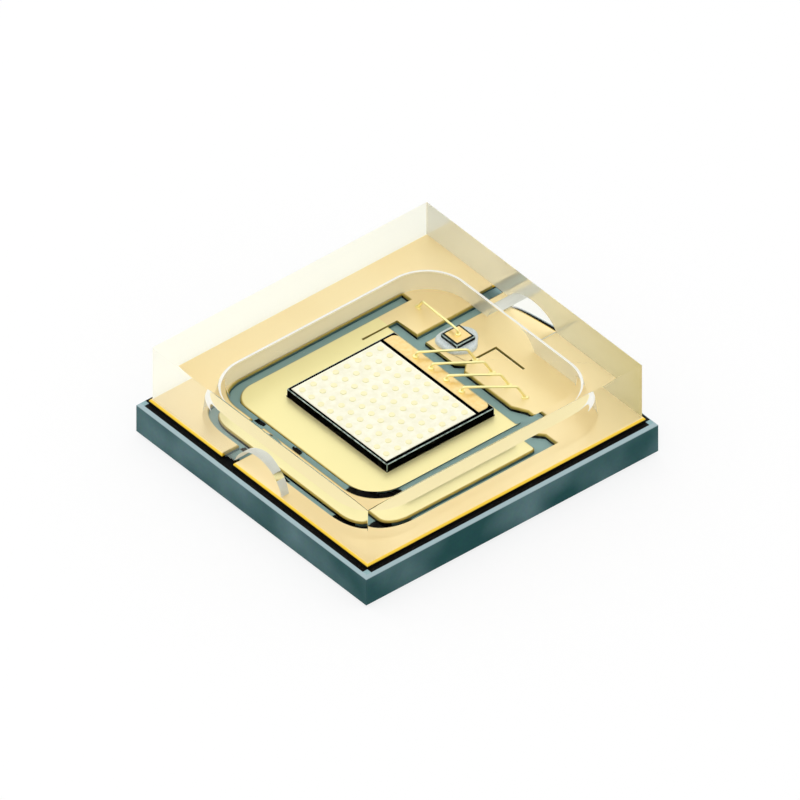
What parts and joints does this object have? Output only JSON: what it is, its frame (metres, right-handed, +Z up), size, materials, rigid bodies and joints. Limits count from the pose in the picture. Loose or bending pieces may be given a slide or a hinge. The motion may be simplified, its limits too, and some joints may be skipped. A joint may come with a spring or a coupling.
{
  "type": "smd led",
  "caption": "Surface-mount light emitter: ceramic tile with a gilded circuit, a large chip on bond wires and a protection diode under a clear hollow block.",
  "frame": {"origin": "middle of the tile's outline, on the solder plane that meets the circuit board", "axes": "+X along the longer side of the tile, from the chip towards the anode; +Z up, out of the board, the way the light leaves; +Y completes the right-handed frame"},
  "size_m": [0.0036, 0.0032, 0.001],
  "materials": {
    "solder_pads": "satin gold plate on copper",
    "ceramic": "fired, fine matt grain",
    "via_fill": "copper paste, fired",
    "gilded_copper": "satin gold plate on etched copper",
    "die_solder": "reflowed solder, satin",
    "semiconductor": "sawn crystal, semi-gloss black",
    "pale_coating": "thin off-white coating",
    "aperture_window": "pale yellow windows",
    "gold_contact": "evaporated gold, satin",
    "gold_wire": "drawn gold wire, bright",
    "silver_glue": "cured filled epoxy, bluish white",
    "clear_bead": "clear silicone bead",
    "clear_block": "clear moulded block, polished top and sawn sides"
  },
  "bodies": {
    "root": {"cathode_solder_pad": "solder_pads", "anode_solder_pad": "solder_pads", "ceramic_substrate": "ceramic", "cathode_vias": "via_fill", "anode_vias": "via_fill", "cathode_circuit": "gilded_copper", "anode_circuit": "gilded_copper", "die_attach": "die_solder", "emitter_chip": "semiconductor", "chip_bright_field": "pale_coating", "chip_bond_bar": "gold_contact", "emitter_apertures": "aperture_window", "protection_diode": "semiconductor", "diode_top_pad": "gold_contact", "diode_glue": "silver_glue", "diode_wire": "gold_wire", "bond_wire_1": "gold_wire", "bond_wire_2": "gold_wire", "bond_wire_3": "gold_wire", "bond_wire_4": "gold_wire", "cap_adhesive": "clear_bead", "clear_cap": "clear_block"}
  },
  "joints": []
}
